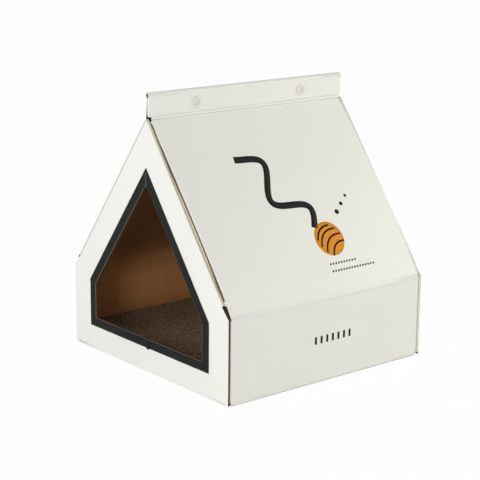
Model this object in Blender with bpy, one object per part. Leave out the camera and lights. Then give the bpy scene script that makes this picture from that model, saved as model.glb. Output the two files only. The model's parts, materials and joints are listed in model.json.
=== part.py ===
# Folding cardboard cat house with a scratcher floor.
# One die-cut sheet of corrugated board makes the floor, the walls, the roof, the
# ridge fin and the two gables. A cloth-faced edging binds the doorway, two pairs of
# snap rivets close the fin, and a pad of corrugated strips lies on the floor.
# Metres. The origin is at the middle of the base, +Z is up, the doorway faces -Y.

from math import atan2, cos, pi, sin, sqrt, tan

import bmesh
import bpy
from mathutils import Matrix, Vector

# Corrugated board
BOARD = 0.0035            # thickness of the sheet
GAP = 0.0003              # clearance between pieces that touch
SCORE_RADIUS = 0.0015     # inner radius of a sharp fold
EAVE_RADIUS = 0.0050      # inner radius of the soft fold at the eaves
FOLD_STEPS = 3            # facets in each half of a fold
CUT_STEPS = 3             # facets of an end fold that are left beside its flap
RIDGE_STEPS = 2           # and above a roof flap, where the two roof panels meet

# House
HOUSE_WIDTH = 0.3920      # over the two walls
HOUSE_DEPTH = 0.3825      # over the folds of the end flaps
EAVE_HEIGHT = 0.1315
ROOF_HEIGHT = 0.2575      # from the eaves up to the valley between roof and fin
FIN_HEIGHT = 0.0410       # from the valley up
ROOF_BOW = 0.0058         # crown of each roof panel
BOW_SKEW = 0.35           # how far the crown leans towards the eave
ROOF_STEPS = 8

# Ridge fin: right panel and cap, plain left panel
CAP_SLACK = 0.0030        # space between the left panel and the cap
FIN_OVERHANG = 0.0012     # how far the fin runs on past the end flaps
LIP_LENGTH = 0.0043       # tight fold pressed round each end of the right panel
LIP_DEPTH = 0.0032

# End flaps
FLAP_WIDTH = 0.0300
FLAP_CHAMFER = 0.0100     # slant of a flap's short edges
WALL_FLAP_FOOT = 0.0060
WALL_FLAP_HEAD = 0.0005   # below the eave fold
ROOF_FLAP_FOOT = 0.0215   # from the eave, up the slope
ROOF_FLAP_HEAD = 0.0020   # from the valley, down the slope
LIP_FOOT = 0.0055         # foot of the fin's lip above the valley
LIP_HEAD = 0.0080         # head of the fin's lip below the top
RIDGE_PARTING = 0.0010    # half the space between the two roof flaps

# Gables
GABLE_SLACK = 0.0008      # between a gable and the end flaps behind it
GABLE_INSET = 0.0010      # gable edge inside the outline of the shell
GABLE_TIP = 0.0030        # width of the blunt tip under the fin
NOTCH_LENGTH = 0.0220     # relief notch at each eave corner
NOTCH_DEPTH = 0.0024
TONGUE_INSET = 0.0090     # floor tongue inside the outline, at each corner

# Doorway and its edging
DOOR_SILL = 0.0529
DOOR_MARGIN = 0.0568      # board between the gable's edge and the doorway
EDGING_LAP = 0.0129       # how far the edging laps over the board
EDGING_WALL = 0.0008
EDGING_SLIT = 0.0006      # where the strip's two ends meet

# Snap rivets
RIVET_END = 0.0864        # rivet axis from the end of the house
RIVET_HEAD_RADIUS = 0.0088
RIVET_HEAD = 0.0014       # thickness of each head
RIVET_BARREL_RADIUS = 0.0053
RIVET_BORE_RADIUS = 0.0047
RIVET_BUTTON_RADIUS = 0.0041
RIVET_WEB = 0.0012        # thickness of the button and of the closed barrel end
RIVET_HOLE_RADIUS = 0.0056
RIVET_RECESS = 0.0016     # button below the face of the head
RIVET_CHAMFER = 0.0005
RIVET_SIDES = 28

# Scratcher pad
PAD_HEIGHT = 0.0300
PAD_CLEARANCE = 0.0020
STRIP_PITCH = 0.0040      # one corrugated strip on edge
STRIP_RIB = 0.0010        # two liners glued together
STRIP_GROOVE = 0.0030     # depth of the open flutes that is modelled

# Sizes that follow from the ones above
FOLD = SCORE_RADIUS + BOARD
HALF_WIDTH = HOUSE_WIDTH / 2
HALF_DEPTH = HOUSE_DEPTH / 2
FOLD_LINE = HALF_DEPTH - FOLD              # where each end fold starts
FIN_END = HALF_DEPTH + FIN_OVERHANG
FIN_CUT = FIN_END - LIP_LENGTH             # where the fin's foot is cut square
RIDGE_HEIGHT = EAVE_HEIGHT + ROOF_HEIGHT
HOUSE_HEIGHT = RIDGE_HEIGHT + FIN_HEIGHT
FIN_HALF = BOARD + GAP / 2
GABLE_FACE = HALF_DEPTH + GABLE_SLACK + BOARD
ROOF_RISE = ROOF_HEIGHT / (HALF_WIDTH - FIN_HALF)
PEAK = RIDGE_HEIGHT + FIN_HALF * ROOF_RISE  # where the two roof planes would meet
SLOPE_LENGTH = sqrt(1 + ROOF_RISE ** 2)
RIVET_HEIGHT = (RIDGE_HEIGHT + HOUSE_HEIGHT) / 2


def clear_scene():
    for item in list(bpy.data.objects):
        bpy.data.objects.remove(item, do_unlink=True)


def material(name, colour, roughness, metallic=0.0):
    mat = bpy.data.materials.new(name)
    mat.use_nodes = True
    shader = mat.node_tree.nodes["Principled BSDF"]
    shader.inputs["Base Color"].default_value = (*colour, 1.0)
    shader.inputs["Roughness"].default_value = roughness
    shader.inputs["Metallic"].default_value = metallic
    mat.diffuse_color = (*colour, 1.0)
    return mat


def empty(name, origin):
    axis = bpy.data.objects.new(name, None)
    axis.empty_display_size = 0.02
    axis.location = origin
    bpy.context.collection.objects.link(axis)
    return axis


def add_piece(name, bm, mat, origin=(0, 0, 0), parent=None):
    """Turn a closed bmesh in world space into an object with the given origin."""
    bmesh.ops.recalc_face_normals(bm, faces=bm.faces)
    bmesh.ops.translate(bm, verts=bm.verts, vec=-Vector(origin))
    mesh = bpy.data.meshes.new(name)
    bm.to_mesh(mesh)
    bm.free()
    mesh.shade_smooth()
    mesh.set_sharp_from_angle(angle=0.6)
    mesh.materials.append(mat)
    piece = bpy.data.objects.new(name, mesh)
    bpy.context.collection.objects.link(piece)
    if parent is None:
        piece.location = origin
    else:
        piece.parent = parent
        piece.location = Vector(origin) - parent.location
    return piece


def add_cutter(name, bm):
    cutter = add_piece(name, bm, MATERIALS["edging"])
    cutter.hide_render = True
    cutter.display_type = "WIRE"
    return cutter


def cut(piece, cutter, operation="DIFFERENCE"):
    modifier = piece.modifiers.new(cutter.name, "BOOLEAN")
    modifier.operation = operation
    modifier.object = cutter
    modifier.solver = "EXACT"


def extruded(bm, faces):
    """Extrude faces with their edges, and give the new corners and faces."""
    edges = list(dict.fromkeys(edge for face in faces for edge in face.edges))
    geom = bmesh.ops.extrude_face_region(bm, geom=[*faces, *edges])["geom"]
    corners = [item for item in geom if isinstance(item, bmesh.types.BMVert)]
    return corners, [item for item in geom if isinstance(item, bmesh.types.BMFace)]


# Folded board
# A fold is worked out on a flat section. A station is a point on the outer face with
# its outward normal, and the inner face lies one board thickness below it.

def outward(direction):
    return Vector((direction.y, -direction.x))


def turned(vector, angle):
    return Matrix.Rotation(angle, 2) @ vector


def fold_stations(corner, before, after, radius, start, end, steps):
    """Stations around a fold, between two fractions of its angle."""
    first = (corner - before).normalized()
    second = (after - corner).normalized()
    angle = atan2(first.x * second.y - first.y * second.x, first.dot(second))
    side = outward(first)
    bend = radius + BOARD if angle > 0 else -radius
    reach = abs(bend) * tan(abs(angle) / 2)
    centre = corner - first * reach - side * bend
    stations = []
    for step in range(steps + 1):
        share = start + (end - start) * step / steps
        normal = turned(side, angle * share)
        stations.append((centre + normal * bend, normal))
    return stations


def mitred(stations, last):
    """Draw the end of a panel back by half a gap, square to the middle of the fold."""
    index = -1 if last else 0
    point, normal = stations[index]
    along = Vector((-normal.y, normal.x)) * (GAP / 2)
    stations[index] = (point - along if last else point + along, normal)
    return stations


def fold_axis(corner, before, after, radius):
    """The crease about which a convex fold opens: the middle of its outer face."""
    return fold_stations(corner, before, after, radius, 0.5, 0.5, 1)[0][0]


def straight_stations(start, end, shares, bow=0.0):
    """Stations along a flat or slightly crowned panel."""
    run = end[0] - start[0]
    length = run.length
    direction = run.normalized()
    stations = []
    for share in shares:
        skew = 1 + BOW_SKEW * (1 - 2 * share)
        rise = 4 * bow * share * (1 - share) * skew
        climb = (1 - 2 * share) * skew - 2 * BOW_SKEW * share * (1 - share)
        lean = atan2(4 * bow * climb, length)
        normal = turned(outward(direction), lean)
        stations.append((start[0] + run * share + outward(direction) * rise, normal))
    return stations


def ladder(stations, place, half_length):
    """A folded strip of board, drawn out along its creases."""
    bm = bmesh.new()
    index = bm.verts.layers.int.new("station")
    face_side = bm.verts.layers.int.new("inner")
    rungs = []
    for number, (point, normal) in enumerate(stations):
        rung = []
        for inner in (0, 1):
            vert = bm.verts.new(place(point - normal * BOARD * inner, -half_length))
            vert[index] = number
            vert[face_side] = inner
            rung.append(vert)
        rungs.append(rung)
    cells = []
    for (outer_a, inner_a), (outer_b, inner_b) in zip(rungs, rungs[1:]):
        cells.append(bm.faces.new((outer_a, outer_b, inner_b, inner_a)))
    shift = place(stations[0][0], half_length) - place(stations[0][0], -half_length)
    bmesh.ops.translate(bm, verts=extruded(bm, cells)[0], vec=shift)
    return bm


def cells_between(bm, faces, first, last):
    """Those of the faces that lie between two stations."""
    index = bm.verts.layers.int["station"]
    chosen = []
    for face in faces:
        numbers = [vert[index] for vert in face.verts]
        if min(numbers) >= first and max(numbers) <= last:
            chosen.append(face)
    return chosen


def end_faces(bm, place, depth):
    """The faces that close a strip at one end."""
    along = place(Vector((0, 0)), 1.0) - place(Vector((0, 0)), 0.0)
    level = [face for face in bm.faces
             if all(abs(vert.co.dot(along) - depth) < 1e-6 for vert in face.verts)]
    return level


def draw_end(bm, cells, position):
    """Extrude end faces and put each new corner where position() says."""
    index = bm.verts.layers.int["station"]
    face_side = bm.verts.layers.int["inner"]
    corners, faces = extruded(bm, cells)
    for vert in corners:
        vert.co = position(vert[index], vert[face_side])
    return faces


def fold_end(bm, stations, place, sign, flap, head_steps):
    """Fold an end flap inwards between two stations.

    Below and above the flap the board is cut off part of the way round the fold.
    """
    first, last, width, foot_cut, head_cut = flap
    cells = end_faces(bm, place, sign * FOLD_LINE)
    for step in range(1, 2 * FOLD_STEPS + 1):
        angle = pi / 2 * step / (2 * FOLD_STEPS)

        def around(number, inner):
            point, normal = stations[number]
            radius = SCORE_RADIUS if inner else FOLD
            sunk = FOLD - radius * cos(angle)
            return place(point - normal * sunk, sign * (FOLD_LINE + radius * sin(angle)))

        cells = draw_end(bm, cells, around)
        if step == head_steps:
            cells = cells_between(bm, cells, 0, last)
        if step == CUT_STEPS:
            cells = cells_between(bm, cells, first, last)
    low, low_normal = stations[first]
    high, high_normal = stations[last]
    climb = (high - low).normalized()
    low_corner = low - low_normal * width + climb * foot_cut
    high_corner = high - high_normal * width - climb * head_cut
    span = (high - low).length

    def free_edge(number, inner):
        share = (stations[number][0] - low).length / span
        return place(low_corner.lerp(high_corner, share), sign * (HALF_DEPTH - inner * BOARD))

    draw_end(bm, cells, free_edge)


def lip_end(bm, stations, place, sign, first, last):
    """Press the end of the right fin panel round into a lip.

    The lip runs between two stations. The board is cut square below it, and runs
    straight on above it.
    """
    cells = cells_between(bm, end_faces(bm, place, sign * FIN_CUT), first, len(stations))
    for step in range(1, 2 * FOLD_STEPS + 1):
        angle = pi / 2 * step / (2 * FOLD_STEPS)

        def around(number, inner):
            point, normal = stations[number]
            rounded = LIP_DEPTH * (1 - cos(angle)) if number <= last else 0
            sunk = BOARD if inner else rounded
            return place(point - normal * sunk, sign * (FIN_CUT + LIP_LENGTH * sin(angle)))

        cells = draw_end(bm, cells, around)


def raw_end(bm, stations, place, sign, first):
    """Carry the left fin panel on to its raw end above its foot."""
    cells = cells_between(bm, end_faces(bm, place, sign * FIN_CUT), first, len(stations))

    def straight(number, inner):
        point, normal = stations[number]
        return place(point - normal * BOARD * inner, sign * FIN_END)

    draw_end(bm, cells, straight)


def panel(name, stations, place, half_length, flap=None, head_steps=CUT_STEPS, **keys):
    """One panel of the sheet, with an end flap at both ends where flap is given."""
    bm = ladder(stations, place, half_length)
    if flap:
        for sign in (-1, 1):
            fold_end(bm, stations, place, sign, flap, head_steps)
    return add_piece(name, bm, MATERIALS["board"], **keys)


# The sheet, right half: outline of the outer face, from the middle of the floor
MIDDLE = Vector((0, 0))
WALL_FOOT = Vector((HALF_WIDTH, 0))
EAVE = Vector((HALF_WIDTH, EAVE_HEIGHT))
VALLEY = Vector((FIN_HALF, RIDGE_HEIGHT))
FIN_TOP = Vector((FIN_HALF, HOUSE_HEIGHT))
CAP_END = Vector((-FIN_HALF, HOUSE_HEIGHT))


def place_right(point, depth):
    return Vector((point.x, depth, point.y))


def place_left(point, depth):
    return Vector((-point.x, depth, point.y))


def wall_stations():
    low = mitred(fold_stations(WALL_FOOT, MIDDLE, EAVE, SCORE_RADIUS, 0.5, 1, FOLD_STEPS), False)
    high = mitred(fold_stations(EAVE, WALL_FOOT, VALLEY, EAVE_RADIUS, 0, 0.5, FOLD_STEPS), True)
    height = high[0][0].y - low[-1][0].y
    foot = (WALL_FLAP_FOOT - low[-1][0].y) / height
    head = 1 - WALL_FLAP_HEAD / height
    flat = straight_stations(low[-1], high[0], (foot, head))
    return low + flat + high, len(low), len(low) + 1


def roof_stations():
    low = mitred(fold_stations(EAVE, WALL_FOOT, VALLEY, EAVE_RADIUS, 0.5, 1, FOLD_STEPS), False)
    high = mitred(fold_stations(VALLEY, EAVE, FIN_TOP, SCORE_RADIUS, 0, 0.5, 1), True)
    slope = (VALLEY - EAVE).length
    run = (high[0][0] - low[-1][0]).length
    foot = (ROOF_FLAP_FOOT - (low[-1][0] - EAVE).length) / run
    head = 1 - (ROOF_FLAP_HEAD - (VALLEY - high[0][0]).length) / run
    shares = [foot + (head - foot) * step / ROOF_STEPS for step in range(ROOF_STEPS + 1)]
    flat = straight_stations(low[-1], high[0], shares, ROOF_BOW)
    return low + flat + high, len(low), len(low) + ROOF_STEPS


def roof_head_cut(stations, last):
    """Slant of a roof flap's upper edge that keeps it clear of the opposite flap."""
    point, normal = stations[last]
    climb = (VALLEY - EAVE).normalized()
    reach = point.x - normal.x * FLAP_WIDTH
    return max(FLAP_CHAMFER, (RIDGE_PARTING - reach) / -climb.x)


def build_walls():
    stations, first, last = wall_stations()
    flap = (first, last, FLAP_WIDTH, FLAP_CHAMFER, FLAP_CHAMFER)
    panel("right_wall", stations, place_right, FOLD_LINE, flap)
    panel("left_wall", stations, place_left, FOLD_LINE, flap)


def build_roof():
    stations, first, last = roof_stations()
    flap = (first, last, FLAP_WIDTH, FLAP_CHAMFER, roof_head_cut(stations, last))
    panel("right_roof", stations, place_right, FOLD_LINE, flap, RIDGE_STEPS)
    panel("left_roof", stations, place_left, FOLD_LINE, flap, RIDGE_STEPS)


def rivet_places():
    reach = HALF_DEPTH - RIVET_END
    return {"front": Vector((0, -reach, RIVET_HEIGHT)), "rear": Vector((0, reach, RIVET_HEIGHT))}


def build_fin():
    """Right fin panel, the plain left one, and the cap strip folded over both."""
    valley = mitred(fold_stations(VALLEY, EAVE, FIN_TOP, SCORE_RADIUS, 0.5, 1, 1), False)
    top = mitred(fold_stations(FIN_TOP, VALLEY, CAP_END, SCORE_RADIUS, 0, 0.5, FOLD_STEPS), True)
    height = top[0][0].y - valley[-1][0].y
    foot = (RIDGE_HEIGHT + LIP_FOOT - valley[-1][0].y) / height
    head = 1 - (LIP_HEAD - (HOUSE_HEIGHT - top[0][0].y)) / height
    flat = straight_stations(valley[-1], top[0], (foot, head))
    stations = valley + flat + top
    bm = ladder(stations, place_right, FIN_CUT)
    for sign in (-1, 1):
        lip_end(bm, stations, place_right, sign, len(valley), len(valley) + 1)
    right_fin = add_piece("right_fin", bm, MATERIALS["board"])

    fold = mitred(fold_stations(FIN_TOP, VALLEY, CAP_END, SCORE_RADIUS, 0.5, 1, FOLD_STEPS), False)
    panel("cap_strip", fold + [(CAP_END, Vector((0, 1)))], place_right, FIN_END)

    left_foot = Vector((FIN_HALF, RIDGE_HEIGHT + LIP_FOOT))
    left_top = Vector((FIN_HALF, HOUSE_HEIGHT - BOARD - CAP_SLACK))
    stations = valley + [(left_foot, Vector((1, 0))), (left_top, Vector((1, 0)))]
    bm = ladder(stations, place_left, FIN_CUT)
    for sign in (-1, 1):
        raw_end(bm, stations, place_left, sign, len(valley))
    left_fin = add_piece("left_fin", bm, MATERIALS["board"])

    bm = bmesh.new()
    for centre in rivet_places().values():
        turn = Matrix.Translation(centre) @ Matrix.Rotation(pi / 2, 4, "Y")
        bmesh.ops.create_cone(bm, cap_ends=True, segments=RIVET_SIDES, radius1=RIVET_HOLE_RADIUS,
                              radius2=RIVET_HOLE_RADIUS, depth=6 * BOARD, matrix=turn)
    holes = add_cutter("rivet_holes", bm)
    cut(right_fin, holes)
    cut(left_fin, holes)


# Floor, with a tongue towards each gable

GABLE_FOOT = Vector((GABLE_FACE, 0))
GABLE_TOP = Vector((GABLE_FACE, PEAK))


def build_floor():
    right = mitred(fold_stations(WALL_FOOT, MIDDLE, EAVE, SCORE_RADIUS, 0, 0.5, FOLD_STEPS), True)
    left = [(Vector((-point.x, point.y)), Vector((-normal.x, normal.y)))
            for point, normal in reversed(right)]
    down = Vector((0, -1))
    tongue = HALF_WIDTH - TONGUE_INSET
    stations = left + [(Vector((-tongue, 0)), down), (Vector((tongue, 0)), down)] + right
    bm = ladder(stations, place_right, FOLD_LINE)
    gable = fold_stations(GABLE_FOOT, MIDDLE, GABLE_TOP, SCORE_RADIUS, 0, 0.5, FOLD_STEPS)
    gable = mitred(gable, True)
    for sign in (-1, 1):
        cells = end_faces(bm, place_right, sign * FOLD_LINE)
        cells = cells_between(bm, cells, len(left), len(left) + 1)
        for point, normal in gable:

            def around(number, inner):
                corner = point - normal * BOARD * inner
                return place_right(Vector((stations[number][0].x, corner.y)), sign * corner.x)

            cells = draw_end(bm, cells, around)
    add_piece("floor_panel", bm, MATERIALS["board"])


# Gables

def house_outline(inset, foot):
    """Right half of the front outline, moved inwards: foot, eave and peak."""
    side = HALF_WIDTH - inset
    peak = PEAK - inset * SLOPE_LENGTH
    return Vector((side, foot)), Vector((side, peak - side * ROOF_RISE)), Vector((0, peak))


def mirrored_loop(points):
    """Close a right-hand outline with its mirror image."""
    left = [Vector((-point.x, point.y)) for point in reversed(points) if point.x > 1e-9]
    return points + left


def prism(outline, near, far):
    bm = bmesh.new()
    face = bm.faces.new([bm.verts.new((point.x, near, point.y)) for point in outline])
    bmesh.ops.translate(bm, verts=extruded(bm, [face])[0], vec=(0, far - near, 0))
    return bm


def gable_outline():
    foot, eave, peak = house_outline(GABLE_INSET, -BOARD)
    slope = (peak - eave).normalized()
    inwards = -outward(slope)
    tip = Vector((GABLE_TIP / 2, peak.y - GABLE_TIP / 2 * ROOF_RISE))
    notch = eave + slope * NOTCH_LENGTH
    return mirrored_loop([foot, eave, notch + inwards * NOTCH_DEPTH, notch, tip])


def door_outline():
    return house_outline(GABLE_INSET + DOOR_MARGIN, DOOR_SILL)


def place_front(point, across):
    return Vector((across, -point.x, point.y))


def place_rear(point, across):
    return Vector((across, point.x, point.y))


def build_gable(name, place, with_door):
    section = mitred(fold_stations(GABLE_FOOT, MIDDLE, GABLE_TOP, SCORE_RADIUS, 0.5, 1,
                                   FOLD_STEPS), False)
    section.append((GABLE_TOP, Vector((1, 0))))
    crease = place(fold_axis(GABLE_FOOT, MIDDLE, GABLE_TOP, SCORE_RADIUS), 0)
    axis = empty(name + "_crease", crease)
    gable = panel(name, section, place, HALF_WIDTH, origin=crease, parent=axis)
    sides = sorted((place(Vector((GABLE_FACE - 4 * FOLD, 0)), 0).y,
                    place(Vector((GABLE_FACE + FOLD, 0)), 0).y))
    cut(gable, add_cutter(name + "_outline", prism(gable_outline(), *sides)), "INTERSECT")
    if with_door:
        door = mirrored_loop(list(door_outline()))
        cut(gable, add_cutter("doorway", prism(door, *sides)))
    return axis


def build_edging(axis):
    """The strip that binds the doorway, laid round it from the middle of the sill."""
    foot, eave, peak = door_outline()
    start = Vector((EDGING_SLIT / 2, foot.y))
    route = [start, foot, eave, peak]
    route += [Vector((-point.x, point.y)) for point in (eave, foot, start)]
    offsets = []
    for number, point in enumerate(route):
        sides = []
        if number > 0:
            sides.append(outward((point - route[number - 1]).normalized()))
        if number < len(route) - 1:
            sides.append(outward((route[number + 1] - point).normalized()))
        total = sum(sides, Vector((0, 0)))
        offsets.append(total / total.dot(sides[0]))
    back = GABLE_FACE - BOARD - GAP
    front = GABLE_FACE + GAP
    wall = EDGING_WALL
    profile = [(EDGING_LAP, front + wall), (-GAP - wall, front + wall), (-GAP - wall, back - wall),
               (EDGING_LAP, back - wall), (EDGING_LAP, back), (-GAP, back), (-GAP, front),
               (EDGING_LAP, front)]
    bm = bmesh.new()
    corner = bm.verts.layers.int.new("corner")
    verts = []
    for number, (lap, depth) in enumerate(profile):
        spot = route[0] + offsets[0] * lap
        vert = bm.verts.new(place_front(Vector((depth, spot.y)), spot.x))
        vert[corner] = number
        verts.append(vert)
    cells = [bm.faces.new(verts)]
    for point, offset in zip(route[1:], offsets[1:]):
        corners, cells = extruded(bm, cells)
        for vert in corners:
            lap, depth = profile[vert[corner]]
            spot = point + offset * lap
            vert.co = place_front(Vector((depth, spot.y)), spot.x)
    add_piece("doorway_edging", bm, MATERIALS["edging"], origin=axis.location, parent=axis)


# Snap rivets

def turned_piece(name, profile, centre, mat):
    """Spin a profile of (radius, x) pairs about the rivet's axis."""
    bm = bmesh.new()
    verts = [bm.verts.new((x, 0, radius)) for radius, x in profile]
    edges = [bm.edges.new(pair) for pair in zip(verts, verts[1:])]
    if profile[0][0] > 0:
        edges.append(bm.edges.new((verts[-1], verts[0])))
    bmesh.ops.spin(bm, geom=verts + edges, cent=(0, 0, 0), axis=(1, 0, 0), angle=2 * pi,
                   steps=RIVET_SIDES, use_merge=True, use_duplicate=False)
    bmesh.ops.remove_doubles(bm, verts=bm.verts, dist=1e-6)
    bmesh.ops.translate(bm, verts=bm.verts, vec=centre)
    return add_piece(name, bm, mat, origin=centre)


def build_rivets():
    """Each half of a rivet ends where the two fin panels meet."""
    seat = FIN_HALF + GAP
    face = seat + RIVET_HEAD
    parting = FIN_HALF - BOARD
    bevel = RIVET_CHAMFER
    button = face - RIVET_RECESS
    web = button - RIVET_WEB
    groove = button - RIVET_WEB / 2
    stud = [(0, button), (RIVET_BUTTON_RADIUS - bevel, button),
            (RIVET_BUTTON_RADIUS, button - bevel), (RIVET_BUTTON_RADIUS, groove),
            (RIVET_BORE_RADIUS, groove), (RIVET_BORE_RADIUS, face - bevel),
            (RIVET_BORE_RADIUS + bevel, face), (RIVET_HEAD_RADIUS - bevel, face),
            (RIVET_HEAD_RADIUS, face - bevel), (RIVET_HEAD_RADIUS, seat),
            (RIVET_BARREL_RADIUS, seat), (RIVET_BARREL_RADIUS, parting),
            (RIVET_BORE_RADIUS, parting), (RIVET_BORE_RADIUS, web), (0, web)]
    end = parting - GAP
    cap = [(0, end), (RIVET_BARREL_RADIUS - bevel, end), (RIVET_BARREL_RADIUS, end - bevel),
           (RIVET_BARREL_RADIUS, -seat), (RIVET_HEAD_RADIUS, -seat),
           (RIVET_HEAD_RADIUS, bevel - face), (RIVET_HEAD_RADIUS - bevel, -face),
           (RIVET_BORE_RADIUS + bevel, -face), (RIVET_BORE_RADIUS, bevel - face),
           (RIVET_BORE_RADIUS, end - RIVET_WEB), (0, end - RIVET_WEB)]
    for place_name, centre in rivet_places().items():
        turned_piece("rivet_stud_" + place_name, stud, centre, MATERIALS["rivet"])
        turned_piece("rivet_cap_" + place_name, cap, centre, MATERIALS["rivet"])


# Scratcher pad: strips on edge across the house, with open flutes on top

def build_pad():
    half = HALF_DEPTH - BOARD - PAD_CLEARANCE
    width = HALF_WIDTH - BOARD - PAD_CLEARANCE
    base = BOARD + GAP
    top = base + PAD_HEIGHT
    count = int(2 * half / STRIP_PITCH)
    pitch = (2 * half - STRIP_RIB) / count
    section = [(half, base), (-half, base)]
    for number in range(count + 1):
        rib = -half + number * pitch
        if number > 0:
            section.append((rib, top - STRIP_GROOVE))
        section.append((rib, top))
        section.append((rib + STRIP_RIB, top))
        if number < count:
            section.append((rib + STRIP_RIB, top - STRIP_GROOVE))
    bm = bmesh.new()
    face = bm.faces.new([bm.verts.new((-width, y, z)) for y, z in section])
    bmesh.ops.translate(bm, verts=extruded(bm, [face])[0], vec=(2 * width, 0, 0))
    add_piece("scratcher_pad", bm, MATERIALS["pad"], origin=(0, 0, base))


clear_scene()
MATERIALS = {
    "board": material("coated_board", (0.86, 0.85, 0.81), 0.55),
    "edging": material("black_edging", (0.02, 0.022, 0.022), 0.6),
    "rivet": material("clear_plastic", (0.80, 0.80, 0.77), 0.3),
    "pad": material("corrugated_pad", (0.33, 0.24, 0.16), 0.9),
}
build_floor()
build_walls()
build_roof()
build_fin()
front_crease = build_gable("front_panel", place_front, True)
build_gable("rear_panel", place_rear, False)
build_edging(front_crease)
build_rivets()
build_pad()
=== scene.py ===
import json
from math import atan2, cos, degrees, pi, radians, sin, sqrt, tau

import bmesh
import bpy
from mathutils import Matrix, Vector
from mathutils.bvhtree import BVHTree


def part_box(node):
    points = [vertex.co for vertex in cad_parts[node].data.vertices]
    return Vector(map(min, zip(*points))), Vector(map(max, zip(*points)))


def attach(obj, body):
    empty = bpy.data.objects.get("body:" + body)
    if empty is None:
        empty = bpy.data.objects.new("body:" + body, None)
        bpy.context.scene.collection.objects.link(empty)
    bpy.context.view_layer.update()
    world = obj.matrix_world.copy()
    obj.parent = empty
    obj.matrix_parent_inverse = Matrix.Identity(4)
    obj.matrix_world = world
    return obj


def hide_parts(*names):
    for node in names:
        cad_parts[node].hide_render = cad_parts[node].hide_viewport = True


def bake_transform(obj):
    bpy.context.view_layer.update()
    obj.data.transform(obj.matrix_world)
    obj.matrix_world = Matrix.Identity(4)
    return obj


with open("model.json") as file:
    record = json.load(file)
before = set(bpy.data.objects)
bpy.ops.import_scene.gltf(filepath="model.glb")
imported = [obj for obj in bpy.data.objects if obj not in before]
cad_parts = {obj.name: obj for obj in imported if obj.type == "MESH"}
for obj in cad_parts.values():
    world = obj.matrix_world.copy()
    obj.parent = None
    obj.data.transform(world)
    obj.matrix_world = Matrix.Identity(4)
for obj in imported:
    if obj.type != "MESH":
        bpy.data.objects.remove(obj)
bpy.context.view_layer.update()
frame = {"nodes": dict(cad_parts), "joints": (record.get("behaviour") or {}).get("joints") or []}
nodes = frame["nodes"]
hinges = {joint["name"]: Vector(joint["pos_m"]) for joint in frame["joints"] if "pos_m" in joint}
print("frame loaded:", len(nodes), "nodes")


# house sizes in metres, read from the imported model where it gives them

def lowCorner(node):
    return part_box(node)[0]


def highCorner(node):
    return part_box(node)[1]


sides = (("right", 1), ("left", -1))
ends = (("front", -1), ("rear", 1))
board = 0.0035
foldRadius = 0.005                      # outer radius of a plain fold
finHalf = 0.00365                       # two boards and half the parting between them
halfWidth = highCorner("right_wall").x
halfDepth = highCorner("right_wall").y
foldLine = halfDepth - foldRadius       # where the end folds start
eave = Vector((halfWidth, 0, 0.1315))
valley = Vector((finHalf, 0, 0.389))
finEnd = highCorner("left_fin").y
frontFace = lowCorner("front_panel").y
rearFace = highCorner("rear_panel").y
slopeRise = (valley.z - eave.z) / (eave.x - valley.x)
slopeDegrees = degrees(atan2(1, slopeRise))     # the roof's outward normal, above the horizontal
slopeLength = (valley - eave).length
roofUp = Vector((-1, 0, slopeRise)).normalized()
roofOut = Vector((slopeRise, 0, 1)).normalized()


# camera, at the photograph's angle

cameraSet = {"azimuth": 50.2945, "elevation": 14.153, "roll": 0.564, "lens": 109.9, "sensor": 36,
             "nearest": 0.05, "place": (1.7231, -1.4449, 0.7462)}


def makeCamera():
    turn, tilt = radians(cameraSet["azimuth"]), radians(cameraSet["elevation"])
    back = Vector((sin(turn) * cos(tilt), -cos(turn) * cos(tilt), sin(tilt)))
    right = Vector((0, 0, 1)).cross(back).normalized()
    axes = Matrix((right, back.cross(right), back)).transposed().to_4x4()
    lens = bpy.data.cameras.new("photoCamera")
    lens.lens = cameraSet["lens"]
    lens.sensor_width = cameraSet["sensor"]
    lens.clip_start = cameraSet["nearest"]
    camera = bpy.data.objects.new("photoCamera", lens)
    camera.matrix_world = (Matrix.Translation(cameraSet["place"]) @ axes
                           @ Matrix.Rotation(radians(cameraSet["roll"]), 4, "Z"))
    bpy.context.scene.collection.objects.link(camera)
    bpy.context.scene.camera = camera


# light and floor

lampSet = {
    # watts, place, size, colour
    "key": (17.0, (1.0, -2.25, 0.42), 0.7, (0.98, 0.99, 1.02)),
    "front": (14.0, (-1.2, -2.2, 0.7), 1.6, (0.98, 0.99, 1.03)),
    "top": (3.5, (0.2, 0.1, 2.6), 2.2, (1.0, 1.0, 1.0)),
    "far": (9.5, (0.9, 1.25, 0.8), 0.9, (1.0, 0.99, 0.88)),
}
stageSet = {"aim": (0, 0, 0.18), "sky": (1.0, 1.0, 1.0), "skyStrength": 0.466,
            "floor": (0.95, 0.95, 0.94), "floorWhite": 0.97, "floorHalf": 6, "floorDrop": 0.0004}


def makeLamp(name, power, place, size, colour):
    lamp = bpy.data.lights.new(name, "AREA")
    lamp.energy = power
    lamp.color = colour
    lamp.size = size
    thing = bpy.data.objects.new(name, lamp)
    thing.location = place
    aim = Vector(stageSet["aim"]) - Vector(place)
    thing.rotation_euler = aim.to_track_quat("-Z", "Y").to_euler()
    bpy.context.scene.collection.objects.link(thing)


def whiteToCamera(tree, surface, white, output):
    # the camera sees plain white, everything else sees the real surface
    path = tree.nodes.new("ShaderNodeLightPath")
    mix = tree.nodes.new("ShaderNodeMixShader")
    tree.links.new(path.outputs["Is Camera Ray"], mix.inputs[0])
    tree.links.new(surface, mix.inputs[1])
    tree.links.new(white, mix.inputs[2])
    tree.links.new(mix.outputs[0], output)


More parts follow.
